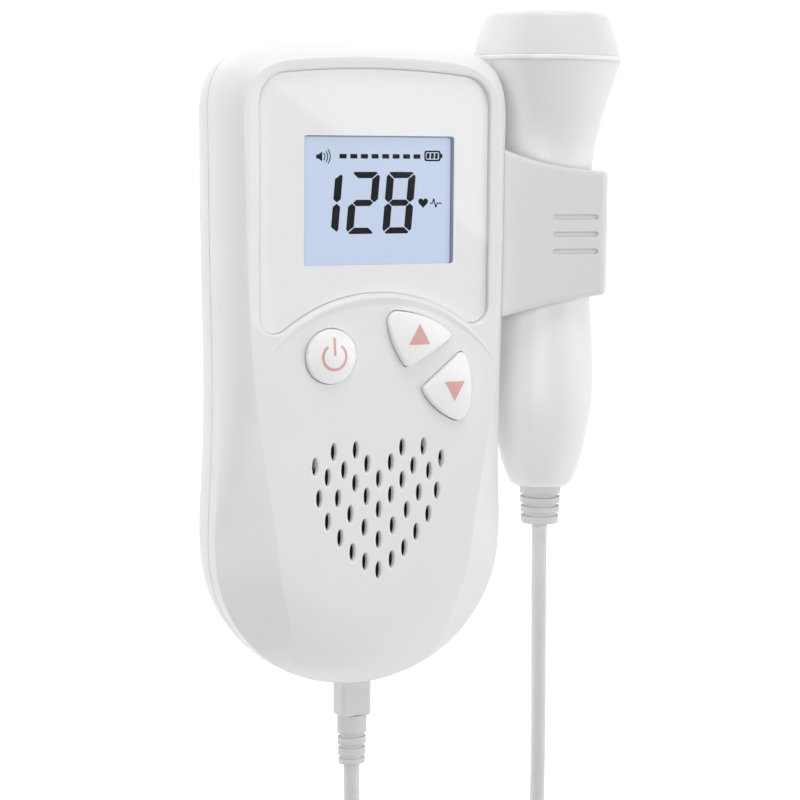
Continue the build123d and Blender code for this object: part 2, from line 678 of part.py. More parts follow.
with BuildPart() as probe_ring:
    with BuildSketch(probe_plane):
        Polygon(
            (15.9, 70.2), (17.6, 70.2), (17.87, 70.5), (17.87, 71.1), (17.6, 71.4), (15.9, 71.4),
            align=None,
        )
    revolve(axis=probe_axis)
probe_ring.part.label = "probe_ring"

with BuildPart() as probe_cap:
    with BuildSketch(probe_plane):
        with BuildLine():
            Polyline((12.8, 80.0), (12.8, 81.65), (13.2, 81.65))
            ThreePointArc((13.2, 81.65), (14.25, 81.15), (14.85, 80.2))
            Spline((14.85, 80.2), (15.6, 77.9), (16.65, 74.5), (17.45, 71.4))
            Polyline((17.45, 71.4), (15.6, 71.4), (13.3, 79.0), (12.0, 79.0), (12.0, 80.0), (12.8, 80.0))
        make_face()
    revolve(axis=probe_axis)
probe_cap.part.label = "probe_cap"

with BuildPart() as probe_face:
    with BuildSketch(probe_plane):
        with BuildLine():
            Polyline((1.0, 82.0), (0, 82.0), (0, 80.0), (12.7, 80.0), (12.7, 81.55))
            Spline((12.7, 81.55), (7.0, 81.88), (1.0, 82.0), tangents=((-1, 0.08), (-1, 0)))
        make_face()
    revolve(axis=probe_axis)
probe_face.part.label = "probe_face"

with BuildPart() as transducer_discs:
    with BuildSketch(Plane.XZ.offset(-79.9)):
        with Locations((probe_x, probe_z)):
            Circle(10.6)
            Rectangle(1.0, 30, mode=Mode.SUBTRACT)
    extrude(amount=1.1)
transducer_discs.part.label = "transducer_discs"

with BuildPart() as transducer_backing:
    with BuildSketch(Plane.XZ.offset(-78.7)):
        with Locations((probe_x, probe_z)):
            Circle(11.2)
    extrude(amount=5.5)
transducer_backing.part.label = "transducer_backing"

with BuildPart() as probe_board:
    with BuildSketch(Plane.XY.offset(probe_z - 0.6)):
        with Locations((probe_x, 14)):
            RectangleRounded(15, 62, 1)
    extrude(amount=1.2)
probe_board.part.label = "probe_board"

relief_end = -40.5
with BuildPart() as probe_relief:
    with BuildSketch(probe_plane):
        with BuildLine():
            Polyline(
                (0, -27.0), (4.6, -27.0), (4.6, -28.5), (3.2, -28.5), (3.2, -31.1), (5.0, -31.1),
                (4.45, relief_end + 0.3), (4.15, relief_end), (0, relief_end), close=True,
            )
        make_face()
    revolve(axis=probe_axis)
    with BuildSketch(probe_plane):
        for y in (-33.6, -35.9, -38.2):
            with Locations((4.8, y)):
                Rectangle(1.6, 0.9)
    revolve(axis=probe_axis, mode=Mode.SUBTRACT)
probe_relief.part.label = "probe_relief"

# ---------------------------------------------------------------- plug and its socket
with BuildPart() as plug_socket:
    extrude(block(-5.5, 5.5, -70.4, -61.8, socket_low), amount=7.2)
    with BuildSketch(Plane.XZ.offset(71)):
        with Locations((0, plug_z)):
            Rectangle(6.6, 3.8)
    extrude(amount=-7, mode=Mode.SUBTRACT)
plug_socket.part.label = "plug_socket"

with BuildPart() as plug_body:
    with BuildSketch(Plane.XZ.offset(-plug_top)):
        with Locations((0, plug_z)):
            RectangleRounded(plug_w, plug_t, 0.9)
    extrude(amount=plug_top - plug_foot)
    fillet(plug_body.faces().sort_by(Axis.Y)[0].edges(), radius=0.5)
plug_body.part.label = "plug_body"

with BuildPart() as plug_shell:
    with BuildSketch(Plane.XZ.offset(-plug_top)):
        with Locations((0, plug_z)):
            RectangleRounded(6.0, 3.2, 0.4)
            Rectangle(5.2, 2.4, mode=Mode.SUBTRACT)
    extrude(amount=-6.4)
plug_shell.part.label = "plug_shell"

with BuildPart() as plug_relief:
    for top, foot, rx, rz in (
        (plug_foot, -86.0, 3.55, 2.75), (-86.0, -87.0, 2.9, 2.2), (-87.0, -88.7, 3.4, 2.65),
        (-88.7, -89.6, 2.8, 2.15), (-89.6, -91.3, 3.3, 2.6), (-91.3, -92.1, 2.75, 2.1),
        (-92.1, relief_foot, 3.15, 2.5),
    ):
        with BuildSketch(Plane.XZ.offset(-top)):
            with Locations((0, plug_z)):
                Ellipse(rx, rz)
        extrude(amount=top - foot)
plug_relief.part.label = "plug_relief"

# ---------------------------------------------------------------- the probe's lead
coil_at, coil_in, coil_out = (36.2, -142.0), 13.0, 27.9
coil_low, coil_top = 0.5, 7.8
probe_run = [
    (probe_x, relief_end, probe_z), (probe_x, -51.5, probe_z), (53.3, -63.5, 16.6), (56.0, -76.5, 12.4),
    (59.2, -90.0, 7.6), (61.5, -104.0, 4.0), (62.4, -118.0, 2.4), (62.2, -131.0, 2.3),
]
plug_run = [
    (0, relief_foot, plug_z), (0, -101.0, plug_z), (1.4, -109.3, 18.3), (5.0, -117.3, 13.9),
    (8.5, -126.0, 9.9), (10.0, -134.0, 7.6),
]


def tube(name, points):
    """A cord along straight runs joined by arcs as large as the runs allow."""
    runs = [Vector(*b) - Vector(*a) for a, b in zip(points, points[1:])]
    turns = [a.get_angle(b) for a, b in zip(runs, runs[1:])]
    radii = [
        0.45 * min(a.length, b.length) / tan(radians(turn) / 2)
        for a, b, turn in zip(runs, runs[1:], turns)
    ]
    with BuildPart() as made:
        with BuildLine() as path:
            FilletPolyline(*points, radius=radii)
        with BuildSketch(Plane(path.line @ 0, z_dir=path.line % 0)):
            Circle(cord_r)
        sweep(path=path.line)
    length = path.wire().length
    ideal = pi * cord_r ** 2 * length
    print(name, "length %.1f" % length, "radii", [round(r, 1) for r in radii],
          "volume ratio %.4f" % (made.part.volume / ideal))
    made.part.label = name
    return made.part


cord_probe_run = tube("cord_probe_run", probe_run)
cord_plug_run = tube("cord_plug_run", plug_run)

with BuildPart() as cord_coil:
    with BuildSketch(Plane.XY.offset(coil_low)):
        with Locations(coil_at):
            Circle(coil_out)
            Circle(coil_in, mode=Mode.SUBTRACT)
    extrude(amount=coil_top - coil_low)
    fillet(cord_coil.edges().filter_by(GeomType.CIRCLE), radius=1.6)
cord_coil.part.label = "cord_coil"

with BuildPart() as cord_tie:
    with BuildSketch(Plane.YZ.offset(coil_at[0] - 2.5)):
        with Locations((coil_at[1] - (coil_in + coil_out) / 2 + 0.1, (coil_low + coil_top) / 2)):
            RectangleRounded(coil_out - coil_in + 1.3, coil_top - coil_low + 0.9, 1.8)
            RectangleRounded(coil_out - coil_in + 0.5, coil_top - coil_low + 0.1, 1.4, mode=Mode.SUBTRACT)
    extrude(amount=5)
cord_tie.part.label = "cord_tie"

# ---------------------------------------------------------------- files
pieces = [
    front_cover.part, rear_cover.part, battery_door.part, display_lens.part, lens_print.part,
    lcd_glass.part, lcd_backlight.part, lcd_frame.part, main_board.part, board_parts.part,
    tact_switches.part, power_button.part, volume_up_button.part, volume_down_button.part, *stems,
    speaker_frame.part, speaker_cone.part, speaker_magnet.part, speaker_cloth.part, cells.part,
    cell_springs.part, cell_contacts.part, case_screws, board_screws, probe_holder.part,
    holder_screws.part, probe_shell.part, probe_ring.part, probe_cap.part, probe_face.part,
    transducer_discs.part, transducer_backing.part, probe_board.part, probe_relief.part,
    plug_socket.part, plug_body.part, plug_shell.part, plug_relief.part, cord_probe_run,
    cord_plug_run, cord_coil.part, cord_tie.part,
]
for piece in pieces:
    export_step(piece, "parts/" + piece.label + ".step")
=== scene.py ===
"""Fetal doppler monitor: finishes, screen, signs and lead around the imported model.

The frame is the CAD model's, in metres: the handset lies on its back, +Z comes out of the display
face, +Y points to the handset's top and +X to the probe.  The origin is the middle of the flat back.
"""
from math import cos, pi, radians, sin, sqrt

import bpy
from mathutils import Matrix, Vector


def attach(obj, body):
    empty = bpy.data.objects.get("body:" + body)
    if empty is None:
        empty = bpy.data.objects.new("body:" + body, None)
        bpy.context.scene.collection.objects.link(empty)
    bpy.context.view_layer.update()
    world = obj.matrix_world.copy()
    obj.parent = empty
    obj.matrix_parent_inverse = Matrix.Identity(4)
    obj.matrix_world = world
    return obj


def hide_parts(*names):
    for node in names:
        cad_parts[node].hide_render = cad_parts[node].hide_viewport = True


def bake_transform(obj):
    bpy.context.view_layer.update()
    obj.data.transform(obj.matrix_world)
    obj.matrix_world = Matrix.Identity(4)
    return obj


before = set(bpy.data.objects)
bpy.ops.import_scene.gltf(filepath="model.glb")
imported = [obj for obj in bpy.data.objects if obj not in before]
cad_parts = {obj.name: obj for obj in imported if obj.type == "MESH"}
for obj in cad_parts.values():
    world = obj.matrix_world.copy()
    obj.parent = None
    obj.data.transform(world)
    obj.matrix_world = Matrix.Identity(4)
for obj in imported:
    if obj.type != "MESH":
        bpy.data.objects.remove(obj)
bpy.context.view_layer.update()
mm = 0.001
scene = bpy.context.scene


# ---------------------------------------------------------------- camera
def make_camera():
    """Looks down on the handset from its left."""
    yaw, pitch, roll = radians(28.11), radians(6.56), radians(0.45)
    at = Vector((-0.22899, 0.05029, 0.47184))
    back = Vector((-sin(yaw) * cos(pitch), sin(pitch), cos(yaw) * cos(pitch)))
    right = Vector((0, 1, 0)).cross(back).normalized()
    turn = Matrix((right, back.cross(right), back)).transposed() @ Matrix.Rotation(roll, 3, "Z")
    data = bpy.data.cameras.new("camera")
    data.lens, data.sensor_width = 99.67, 36.0
    data.clip_start, data.clip_end = 0.01, 10.0
    camera = bpy.data.objects.new("camera", data)
    camera.matrix_world = Matrix.Translation(at) @ turn.to_4x4()
    scene.collection.objects.link(camera)
    scene.camera = camera


make_camera()


# ---------------------------------------------------------------- mesh helpers
def make_object(name, verts, faces, smooth=False):
    """A mesh object from points in metres."""
    mesh = bpy.data.meshes.new(name)
    mesh.from_pydata([tuple(v) for v in verts], [], faces)
    mesh.validate()
    mesh.polygons.foreach_set("use_smooth", [smooth] * len(mesh.polygons))
    made = bpy.data.objects.new(name, mesh)
    scene.collection.objects.link(made)
    return made


def plates(name, outlines, low, high):
    """Flat plates between two heights, one for each outline; all sizes in millimetres."""
    verts, faces = [], []
    for outline in outlines:
        n, first = len(outline), len(verts)
        area = sum(a[0] * b[1] - b[0] * a[1] for a, b in zip(outline, outline[1:] + outline[:1]))
        ring = outline if area > 0 else outline[::-1]
        verts += [Vector((x, y, low)) * mm for x, y in ring] + [Vector((x, y, high)) * mm for x, y in ring]
        faces.append([first + n - 1 - i for i in range(n)])
        faces.append([first + n + i for i in range(n)])
        for i in range(n):
            j = (i + 1) % n
            faces.append([first + i, first + j, first + n + j, first + n + i])
    return make_object(name, verts, faces)


def band(points, width):
    """The outline of a stroke of the given width along open points."""
    left, right = [], []
    for i, point in enumerate(points):
        before = Vector(points[max(i - 1, 0)])
        after = Vector(points[min(i + 1, len(points) - 1)])
        along = (after - before).normalized()
        across = Vector((-along.y, along.x)) * width / 2
        left.append(tuple(Vector(point) + across))
        right.append(tuple(Vector(point) - across))
    return left + right[::-1]


def ring(name, outer, inner, low, high):
    """A flat frame between two outlines that have the same number of points; millimetres."""
    n = len(outer)
    loops = [(outer, low), (inner, low), (inner, high), (outer, high)]
    verts = [Vector((x, y, z)) * mm for loop, z in loops for x, y in loop]
    faces = []
    for k in range(4):
        near, far = k * n, (k + 1) % 4 * n
        for i in range(n):
            j = (i + 1) % n
            faces.append([near + j, near + i, far + i, far + j])
    return make_object(name, verts, faces)


def rounded_box(x0, x1, y0, y1, radius, steps=6):
    """A rectangle's outline with rounded corners."""
    corners = [
        ((x1 - radius, y0 + radius), -90), ((x1 - radius, y1 - radius), 0),
        ((x0 + radius, y1 - radius), 90), ((x0 + radius, y0 + radius), 180),
    ]
    return [p for centre, start in corners for p in arc(centre, radius, start, start + 90, steps)]


def arc(centre, radius, start, end, steps):
    """Points on an arc, its angles in degrees."""
    turns = [radians(start + (end - start) * i / steps) for i in range(steps + 1)]
    return [(centre[0] + radius * cos(t), centre[1] + radius * sin(t)) for t in turns]


# ---------------------------------------------------------------- the lead's route
cord_width = 3.6
probe_run = [
    (51.94, -40.5, 18.5), (51.94, -51.5, 18.5), (53.3, -63.5, 16.6), (56.0, -76.5, 12.4),
    (59.2, -90.0, 7.6), (61.5, -104.0, 4.0), (62.4, -118.0, 2.4), (62.2, -131.0, 2.3),
]
plug_run = [
    (0, -93.3, 20.5), (0, -101.0, 20.5), (1.4, -109.3, 18.3), (5.0, -117.3, 13.9),
    (8.5, -126.0, 9.9), (10.0, -134.0, 7.6),
]
coil_at = (36.2, -142.0)
coil_out, coil_in = 26.0, 14.9         # middle of the outermost and of the innermost turn
coil_low, coil_high = 2.3, 5.9         # middle of the lower and of the upper layer
turn_points = 14


def coil_points():
    """Two flat layers of turns: inwards on the surface, then outwards on top."""
    lower, climb, upper = 3.0, 0.35, 3.15
    total = lower + climb + upper
    made = []
    for step in range(int(total * turn_points) + 1):
        turn = step / turn_points
        share_in = min(turn / lower, 1)
        share_up = min(max((turn - lower) / climb, 0), 1)
        share_out = max((turn - lower - climb) / upper, 0)
        radius = coil_out + (coil_in - coil_out) * (share_in - share_out)
        height = coil_low + (coil_high - coil_low) * share_up
        angle = -2 * pi * turn
        made.append((coil_at[0] + radius * cos(angle), coil_at[1] + radius * sin(angle), height))
    return made


def route_line(points):
    """Points along the smooth line that the route's points control."""
    curve = bpy.data.curves.new("route", "CURVE")
    curve.dimensions = "3D"
    curve.resolution_u = 10
    spline = curve.splines.new("NURBS")
    spline.points.add(len(points) - 1)
    for point, at in zip(spline.points, points):
        point.co = (*(Vector(at) * mm), 1)
    spline.order_u = 3
    spline.use_endpoint_u = True
    holder = bpy.data.objects.new("route", curve)
    scene.collection.objects.link(holder)
    mesh = bpy.data.meshes.new_from_object(holder)
    line = [v.co.copy() for v in mesh.vertices]
    bpy.data.objects.remove(holder)
    bpy.data.curves.remove(curve)
    bpy.data.meshes.remove(mesh)
    return line


def tube(name, line, width, sides=16):
    """A round tube along a line, closed at both ends."""
    verts, faces = [], []
    side = Vector((0, 0, 1))
    for i, at in enumerate(line):
        along = (line[min(i + 1, len(line) - 1)] - line[max(i - 1, 0)]).normalized()
        side = (side - along * side.dot(along)).normalized()
        across = along.cross(side)
        for k in range(sides):
            turn = 2 * pi * k / sides
            verts.append(at + (side * cos(turn) + across * sin(turn)) * width / 2)
    for i in range(len(line) - 1):
        for k in range(sides):
            a, b = i * sides + k, i * sides + (k + 1) % sides
            faces.append([a, b, b + sides, a + sides])
    faces.append(list(range(sides))[::-1])
    faces.append([len(verts) - sides + k for k in range(sides)])
    return make_object(name, verts, faces, smooth=True)


def make_cord():
    """The whole lead, from the probe's strain relief through the stored coil to the plug."""
    line = route_line(probe_run + coil_points() + plug_run[::-1])
    cord = tube("cord", line, cord_width * mm)
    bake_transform(cord)
    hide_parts("cord_probe_run", "cord_plug_run", "cord_coil")
    length = sum((b - a).length for a, b in zip(line, line[1:]))
    print("cord length", round(length, 4), "points", len(line))
    return cord


cord = make_cord()


# ---------------------------------------------------------------- materials
def combine(tree, operation, *sources):
    """The output of a math node; each source is another node's output or a number."""
    made = tree.nodes.new("ShaderNodeMath")
    made.operation = operation
    for socket, source in zip(made.inputs, sources):
        if isinstance(source, float):
            socket.default_value = source
        else:
            tree.links.new(source, socket)
    return made.outputs[0]


class Finish:
    """A Principled material, with short ways to add detail to it."""

    def __init__(self, name, colour, rough, metal=0.0):
        self.material = bpy.data.materials.new(name)
        self.material.use_nodes = True
        self.tree = self.material.node_tree
        self.shader = self.tree.nodes["Principled BSDF"]
        self.colour, self.rough = colour, rough
        self.set("Base Color", (*colour, 1))
        self.set("Roughness", rough)
        self.set("Metallic", metal)
        self.place = self.node("ShaderNodeTexCoord").outputs["Object"]
        self.normal = None

    def node(self, kind, **values):
        made = self.tree.nodes.new(kind)
        for key, value in values.items():
            setattr(made, key, value)
        return made

    def link(self, source, target):
        self.tree.links.new(source, target)

    def set(self, socket, value):
        self.shader.inputs[socket].default_value = value

    def noise(self, size, detail=2.0, stretch=(1, 1, 1), distort=0.0):
        """Noise whose lumps are about size millimetres across."""
        mapping = self.node("ShaderNodeMapping")
        mapping.inputs["Scale"].default_value = [s / (size * mm) for s in stretch]
        noise = self.node("ShaderNodeTexNoise")
        noise.inputs["Scale"].default_value = 1.0
        noise.inputs["Detail"].default_value = detail
        noise.inputs["Distortion"].default_value = distort
        self.link(self.place, mapping.inputs["Vector"])
        self.link(mapping.outputs["Vector"], noise.inputs["Vector"])
        return noise.outputs["Fac"]

    def span(self, source, low, high, start=0.3, end=0.7):
        """The source's range from start to end, mapped to low and high."""
        made = self.node("ShaderNodeMapRange")
        for socket, value in (("From Min", start), ("From Max", end), ("To Min", low), ("To Max", high)):
            made.inputs[socket].default_value = value
        self.link(source, made.inputs["Value"])
        return made.outputs["Result"]

    def rough_by(self, source, low, high):
        self.link(self.span(source, low, high), self.shader.inputs["Roughness"])
        return self

    def tint_by(self, source, other, start=0.3, end=0.7):
        """Fades the colour to the other one along the source."""
        mix = self.node("ShaderNodeMix", data_type="RGBA")
        self.link(self.span(source, 0, 1, start, end), mix.inputs["Factor"])
        mix.inputs["A"].default_value = (*self.colour, 1)
        mix.inputs["B"].default_value = (*other, 1)
        self.link(mix.outputs["Result"], self.shader.inputs["Base Color"])
        return self

    def rounded(self, radius):
        """Edges that catch the light as if rounded to the radius, in millimetres."""
        bevel = self.node("ShaderNodeBevel", samples=6)
        bevel.inputs["Radius"].default_value = radius * mm
        self.normal = bevel.outputs["Normal"]
        self.link(self.normal, self.shader.inputs["Normal"])
        return self

    def bump(self, source, height, strength=1.0):
        """Relief of the given height in millimetres."""
        made = self.node("ShaderNodeBump")
        made.inputs["Strength"].default_value = strength
        made.inputs["Distance"].default_value = height * mm
        self.link(source, made.inputs["Height"])
        if self.normal:
            self.link(self.normal, made.inputs["Normal"])
        self.normal = made.outputs["Normal"]
        self.link(self.normal, self.shader.inputs["Normal"])
        return self


def plastic(name, colour, rough=0.36, edge=0.35, grain=0.006, through=0.25):
    """Moulded plastic: a fine spark-eroded grain, soft edges and a faint unevenness of shine.

    Light passes a little way through it, by the share given last.
    """
    made = Finish(name, colour, rough)
    made.rounded(edge)
    made.rough_by(made.noise(9, 3), rough - 0.05, rough + 0.05)
    made.tint_by(made.noise(30, 2), [c * 0.985 for c in colour])
    made.bump(made.noise(0.35, 2), grain)
    made.set("Specular IOR Level", 0.45)
    made.set("Subsurface Weight", through)
    made.set("Subsurface Radius", (1.0, 1.0, 1.0))
    made.set("Subsurface Scale", 0.0015)
    return made.material


def paint(material, *nodes):
    """Gives CAD nodes a material."""
    for name in nodes:
        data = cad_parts[name].data
        data.materials.clear()
        data.materials.append(material)


def dress(piece, material, body):
    """Finishes a new piece and lets it ride on its body."""
    piece.data.materials.clear()
    piece.data.materials.append(material)
    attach(piece, body)
    return piece


def scuffed(name, colour, rough=0.38):
    """The back's plastic: the same grain, with the faint rubs of lying on a table."""
    made = Finish(name, colour, rough)
    made.rounded(0.4)
    rubs = made.noise(3.0, 5, stretch=(1, 0.12, 1), distort=0.6)
    made.rough_by(rubs, rough - 0.07, rough + 0.07)
    made.tint_by(made.noise(24, 3), [c * 0.975 for c in colour])
    made.bump(made.noise(0.35, 2), 0.007)
    made.bump(rubs, 0.004)
    made.set("Specular IOR Level", 0.45)
    return made.material


def rubber(name, colour, rough=0.55, edge=0.15):
    """Soft moulded vinyl, dull, with fine dimples and a little dust in its grain."""
    made = Finish(name, colour, rough)
    made.rounded(edge)
    made.rough_by(made.noise(4, 4), rough - 0.07, rough + 0.08)
    made.tint_by(made.noise(11, 4), [c * 0.94 for c in colour])
    made.bump(made.noise(0.5, 3), 0.012)
    made.set("Specular IOR Level", 0.4)
    return made.material


def cord_jacket():
    """The lead's jacket: smooth vinyl with the faint waves of the twisted wires inside."""
    colour = (0.68, 0.68, 0.68)
    made = Finish("cord_jacket", colour, 0.46)
    made.rough_by(made.noise(5, 4), 0.40, 0.54)
    made.tint_by(made.noise(14, 3), [c * 0.95 for c in colour])
    made.bump(made.noise(2.2, 1, distort=0.4), 0.03)
    made.bump(made.noise(0.4, 2), 0.006)
    return made.material


def steel(name, colour, rough=0.3, size=6.0, stretch=(1, 1, 1)):
    """Plated metal with brushed streaks and dulled patches."""
    made = Finish(name, colour, rough, metal=1.0)
    made.rounded(0.1)
    made.rough_by(made.noise(size, 4, stretch=stretch), rough - 0.08, rough + 0.14)
    made.tint_by(made.noise(5, 3), [c * 0.8 for c in colour])
    made.bump(made.noise(0.6, 3, stretch=stretch), 0.004)
    return made.material


def board_mask():
    """Solder mask with the traces' relief under it."""
    made = Finish("solder_mask", (0.02, 0.16, 0.06), 0.34)
    traces = made.noise(2.4, 0, stretch=(1, 0.25, 1))
    made.tint_by(traces, (0.03, 0.25, 0.09), 0.48, 0.52)
    made.rough_by(made.noise(6, 3), 0.28, 0.42)
    made.bump(traces, 0.03)
    return made.material


def dull(name, colour, rough=0.6, grain=0.02):
    """Moulded packages and blocks inside the case."""
    made = Finish(name, colour, rough)
    made.rounded(0.12)
    made.rough_by(made.noise(3, 3), rough - 0.1, rough + 0.1)
    made.tint_by(made.noise(6, 3), [c * 0.85 for c in colour])
    made.bump(made.noise(0.5, 3), grain)
    return made.material


def cone_paper():
    """Pressed paper pulp."""
    made = Finish("cone_paper", (0.035, 0.035, 0.037), 0.85)
    pulp = made.noise(1.2, 5, distort=0.5)
    made.tint_by(pulp, (0.06, 0.06, 0.062))
    made.bump(pulp, 0.05)
    return made.material


def dust_cloth():
    """Thin black cloth behind the slots: two crossed sets of threads."""
    made = Finish("dust_cloth", (0.012, 0.012, 0.013), 0.95)
    threads = []
    for axis in ("X", "Y"):
        wave = made.node("ShaderNodeTexWave", wave_type="BANDS", bands_direction=axis, wave_profile="SIN")
        wave.inputs["Scale"].default_value = 520
        wave.inputs["Distortion"].default_value = 0.4
        made.link(made.place, wave.inputs["Vector"])
        threads.append(wave.outputs["Fac"])
    weave = combine(made.tree, "MULTIPLY", *threads)
    made.tint_by(weave, (0.03, 0.03, 0.032), 0.0, 0.9)
    made.bump(weave, 0.06)
    return made.material


def cell_sleeve():
    """Bare ends and a dark sleeve with a plain lighter band round it."""
    made = Finish("cell_sleeve", (0.03, 0.032, 0.036), 0.32, metal=0.3)
    made.rounded(0.15)
    axis = made.node("ShaderNodeSeparateXYZ")
    made.link(made.place, axis.inputs[0])
    band_low = made.span(axis.outputs["Y"], 0, 1, -0.0372, -0.0370)
    band_high = made.span(axis.outputs["Y"], 1, 0, -0.0110, -0.0108)
    made.tint_by(combine(made.tree, "MULTIPLY", band_low, band_high), (0.30, 0.31, 0.33), 0.0, 1.0)
    made.rough_by(made.noise(4, 4), 0.26, 0.4)
    made.bump(made.noise(1.5, 3), 0.01)
    return made.material


def ceramic_discs():
    """Silvered ceramic, dull and a little blotched."""
    made = Finish("silvered_ceramic", (0.62, 0.58, 0.50), 0.4, metal=0.6)
    made.tint_by(made.noise(1.6, 5), (0.45, 0.42, 0.36))
    made.rough_by(made.noise(1.0, 4), 0.3, 0.55)
    made.bump(made.noise(0.4, 3), 0.01)
    return made.material


def screen_glass():
    """The lit liquid crystal: pale blue, with the faint mottle of its diffuser."""
    colour = (0.25, 0.30, 0.40)
    made = Finish("liquid_crystal", colour, 0.25)
    made.tint_by(made.noise(16, 2), [c * 0.985 for c in colour])
    made.rough_by(made.noise(6, 2), 0.22, 0.30)
    made.bump(made.noise(0.25, 1), 0.002)
    made.set("Emission Color", (0.72, 0.82, 1.0, 1))
    made.set("Emission Strength", screen_glow)
    made.set("Specular IOR Level", 0.2)
    return made.material


def over_screen(tree, place):
    """1 over the screen's opening and 0 beside it, with a soft step of 0.2 mm between them."""
    axis = tree.nodes.new("ShaderNodeSeparateXYZ")
    tree.links.new(place, axis.inputs[0])
    inside = 1.0
    for output, low, high in (("X", window[0], window[1]), ("Y", window[2], window[3])):
        for edge, sign in ((low, 1), (high, -1)):
            step = tree.nodes.new("ShaderNodeMapRange")
            step.inputs["From Min"].default_value = (edge - 0.1 * sign) * mm
            step.inputs["From Max"].default_value = (edge + 0.1 * sign) * mm
            tree.links.new(axis.outputs[output], step.inputs["Value"])
            inside = combine(tree, "MULTIPLY", inside, step.outputs["Result"])
    return inside


def clear_lens():
    """Clear acrylic: it shows what lies behind it and mirrors the room by Fresnel's law.

    Over the screen its top is matt against glare, and its inner faces mirror nothing.
    """
    material = bpy.data.materials.new("clear_acrylic")
    material.use_nodes = True
    tree = material.node_tree
    nodes, links = tree.nodes, tree.links
    nodes.clear()
    place = nodes.new("ShaderNodeTexCoord").outputs["Object"]
    fresnel = nodes.new("ShaderNodeFresnel")
    fresnel.inputs["IOR"].default_value = 1.49
    matt = nodes.new("ShaderNodeMapRange")
    matt.inputs["To Min"].default_value = 1.0
    matt.inputs["To Max"].default_value = 0.15
    links.new(over_screen(tree, place), matt.inputs["Value"])
    inner_face = nodes.new("ShaderNodeNewGeometry").outputs["Backfacing"]
    mirrored = combine(tree, "MULTIPLY", fresnel.outputs[0], matt.outputs["Result"])
    mirrored = combine(tree, "MULTIPLY", mirrored, combine(tree, "SUBTRACT", 1.0, inner_face))
    noise = nodes.new("ShaderNodeTexNoise")
    noise.inputs["Scale"].default_value = 60
    links.new(place, noise.inputs["Vector"])
    smears = nodes.new("ShaderNodeMapRange")
    smears.inputs["To Min"].default_value = 0.02
    smears.inputs["To Max"].default_value = 0.05
    links.new(noise.outputs["Fac"], smears.inputs["Value"])
    clear = nodes.new("ShaderNodeBsdfTransparent")
    clear.inputs["Color"].default_value = (0.99, 0.99, 0.99, 1)
    gloss = nodes.new("ShaderNodeBsdfGlossy")
    links.new(smears.outputs["Result"], gloss.inputs["Roughness"])
    mix = nodes.new("ShaderNodeMixShader")
    links.new(mirrored, mix.inputs[0])
    links.new(clear.outputs[0], mix.inputs[1])
    links.new(gloss.outputs[0], mix.inputs[2])
    out = nodes.new("ShaderNodeOutputMaterial")
    links.new(mix.outputs[0], out.inputs["Surface"])
    return material


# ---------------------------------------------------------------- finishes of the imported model
window = (-18.0, 19.7, 23.65, 52.35)      # the screen's opening: left, right, foot, top
screen_top = 30.4
screen_glow = 0.47

shell = plastic("shell", (0.80, 0.80, 0.80))
button_face = plastic("button_face", (0.89, 0.89, 0.89), rough=0.30, edge=0.3, grain=0.003)
paint(shell, "front_cover")
paint(plastic("holder_plastic", (0.70, 0.70, 0.70)), "probe_holder")
paint(plastic("probe_plastic", (0.82, 0.82, 0.82), rough=0.34), "probe_shell")
paint(plastic("cap_plastic", (0.75, 0.75, 0.75), rough=0.34), "probe_cap")
paint(plastic("probe_trim", (0.84, 0.84, 0.84), rough=0.24, edge=0.2, grain=0.002), "probe_ring")
paint(plastic("sensing_face", (0.80, 0.80, 0.785), rough=0.22, edge=0.5, grain=0.001), "probe_face")
paint(scuffed("back_plastic", (0.80, 0.80, 0.80)), "rear_cover", "battery_door")
paint(button_face, "power_button", "volume_up_button", "volume_down_button")
paint(clear_lens(), "display_lens")
white_print = plastic("white_print", (0.91, 0.91, 0.91), rough=0.5, edge=0.02, grain=0.0, through=0.0)
paint(white_print, "lens_print")
paint(screen_glass(), "lcd_glass")
paint(dull("diffuser", (0.72, 0.76, 0.84), 0.5, 0.005), "lcd_backlight")
paint(dull("black_clip", (0.03, 0.03, 0.033), 0.5), "lcd_frame")
paint(board_mask(), "main_board", "probe_board")
paint(dull("packages", (0.025, 0.025, 0.027), 0.5), "board_parts", "tact_switches", "plug_socket")
paint(dull("plungers", (0.50, 0.36, 0.20), 0.5), "power_stem", "volume_up_stem", "volume_down_stem")
paint(steel("basket_steel", (0.50, 0.51, 0.53), 0.36), "speaker_frame", "speaker_magnet")
paint(cone_paper(), "speaker_cone")
paint(dust_cloth(), "speaker_cloth")
paint(cell_sleeve(), "cells")
paint(steel("nickel", (0.62, 0.61, 0.58), 0.24), "cell_springs", "cell_contacts", "plug_shell")
paint(steel("zinc", (0.50, 0.51, 0.52), 0.34, 3.0), "case_screws", "board_screws", "holder_screws")
paint(ceramic_discs(), "transducer_discs")
paint(dull("epoxy", (0.06, 0.055, 0.05), 0.75, 0.06), "transducer_backing")
paint(rubber("relief_vinyl", (0.66, 0.66, 0.66)), "probe_relief", "plug_relief")
paint(rubber("plug_vinyl", (0.70, 0.70, 0.70), 0.5, 0.3), "plug_body")
paint(rubber("strap_vinyl", (0.62, 0.62, 0.62), 0.5, 0.2), "cord_tie")
cord.data.materials.append(cord_jacket())


# ---------------------------------------------------------------- screen
digit_w, digit_h = 7.35, 13.8             # the upright field of a digit's segments
digit_lean = 0.0875                       # how far a digit leans to the right per height
digit_reach = 8.56                        # a digit's whole width with its slant
digit_foot = 30.55


def slanted(points, x0, y0):
    """Points of a digit moved to their place and slanted."""
    return [(x0 + x + y * digit_lean, y0 + y) for x, y in points]


